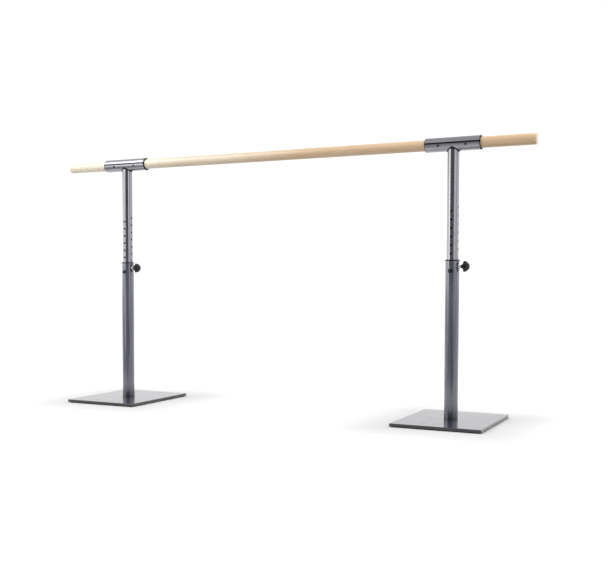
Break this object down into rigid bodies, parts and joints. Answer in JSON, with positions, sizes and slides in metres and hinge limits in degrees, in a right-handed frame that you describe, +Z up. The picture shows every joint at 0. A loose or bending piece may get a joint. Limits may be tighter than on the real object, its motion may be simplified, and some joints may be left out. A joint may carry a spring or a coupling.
{
  "type": "free-standing ballet barre",
  "caption": "Free-standing ballet barre: a round wooden rail clamped on telescopic steel posts, with star-knob height locks and flat rectangular base plates.",
  "frame": {"origin": "on the floor, midway between the two posts, under the middle of the rail", "axes": "+X along the wooden rail, +Z up, -Y towards the side with the stickers"},
  "size_m": [2, 0.396, 1.0154],
  "materials": {
    "beech": "clear lacquered beech, fine straight grain",
    "outer_coat": "satin anthracite metallic powder coat",
    "inner_coat": "glossy anthracite metallic powder coat",
    "clamp_coat": "satin anthracite metallic powder coat",
    "plate_coat": "glossy anthracite metallic powder coat",
    "zinc_steel": "bright zinc plated steel",
    "black_nylon": "black moulded nylon, satin",
    "knob_plastic": "black moulded plastic, glossy",
    "pad_rubber": "black rubber",
    "black_screw": "black oxide steel",
    "sticker": "plain dark vinyl sticker"
  },
  "bodies": {
    "left_stand": {"left_base_plate": "plate_coat", "left_rubber_pads": "pad_rubber", "left_outer_tube": "outer_coat", "left_tube_plug": "zinc_steel", "left_base_bolt": "zinc_steel", "left_guide_bush": "black_nylon", "left_screw_boss": "zinc_steel", "left_label": "sticker"},
    "barre": {"wooden_bar": "beech", "left_inner_tube": "inner_coat", "left_tube_slider": "black_nylon", "left_saddle_seal": "black_nylon", "left_clamp_lower": "clamp_coat", "left_clamp_upper": "clamp_coat", "left_clamp_liner": "black_nylon", "left_clamp_screws": "black_screw", "right_inner_tube": "inner_coat", "right_tube_slider": "black_nylon", "right_saddle_seal": "black_nylon", "right_clamp_lower": "clamp_coat", "right_clamp_upper": "clamp_coat", "right_clamp_liner": "black_nylon", "right_clamp_screws": "black_screw"},
    "right_stand": {"right_base_plate": "plate_coat", "right_rubber_pads": "pad_rubber", "right_outer_tube": "outer_coat", "right_tube_plug": "zinc_steel", "right_base_bolt": "zinc_steel", "right_guide_bush": "black_nylon", "right_screw_boss": "zinc_steel", "right_label": "sticker"},
    "left_lock_screw": {"left_lock_stud": "zinc_steel"},
    "left_knob": {"left_star_knob": "knob_plastic"},
    "right_lock_screw": {"right_lock_stud": "zinc_steel"},
    "right_knob": {"right_star_knob": "knob_plastic"}
  },
  "joints": [
    {"name": "left_height", "type": "slide", "parent": "left_stand", "child": "barre", "axis": [0, 0, 1], "range_m": [-0.21, 0.15]},
    {"name": "right_height", "type": "slide", "parent": "barre", "child": "right_stand", "axis": [0, 0, -1], "range_m": [-0.21, 0.15]},
    {"name": "left_screw_travel", "type": "slide", "parent": "left_stand", "child": "left_lock_screw", "axis": [1, 0, 0], "range_m": [-0.00325, 0.006]},
    {"name": "left_knob_turn", "type": "hinge", "parent": "left_lock_screw", "child": "left_knob", "pos_m": [-0.673, 0, 0.558], "axis": [1, 0, 0], "range_deg": [-785, 1445]},
    {"name": "right_screw_travel", "type": "slide", "parent": "right_stand", "child": "right_lock_screw", "axis": [1, 0, 0], "range_m": [-0.00325, 0.006]},
    {"name": "right_knob_turn", "type": "hinge", "parent": "right_lock_screw", "child": "right_knob", "pos_m": [0.743, 0, 0.558], "axis": [1, 0, 0], "range_deg": [-785, 1445]}
  ],
  "couplings": [
    {"joint": "right_height", "follows": "left_height", "ratio": 1},
    {"joint": "left_knob_turn", "follows": "left_screw_travel", "rad_per_m": 4188.8},
    {"joint": "right_knob_turn", "follows": "right_screw_travel", "rad_per_m": 4188.8}
  ]
}
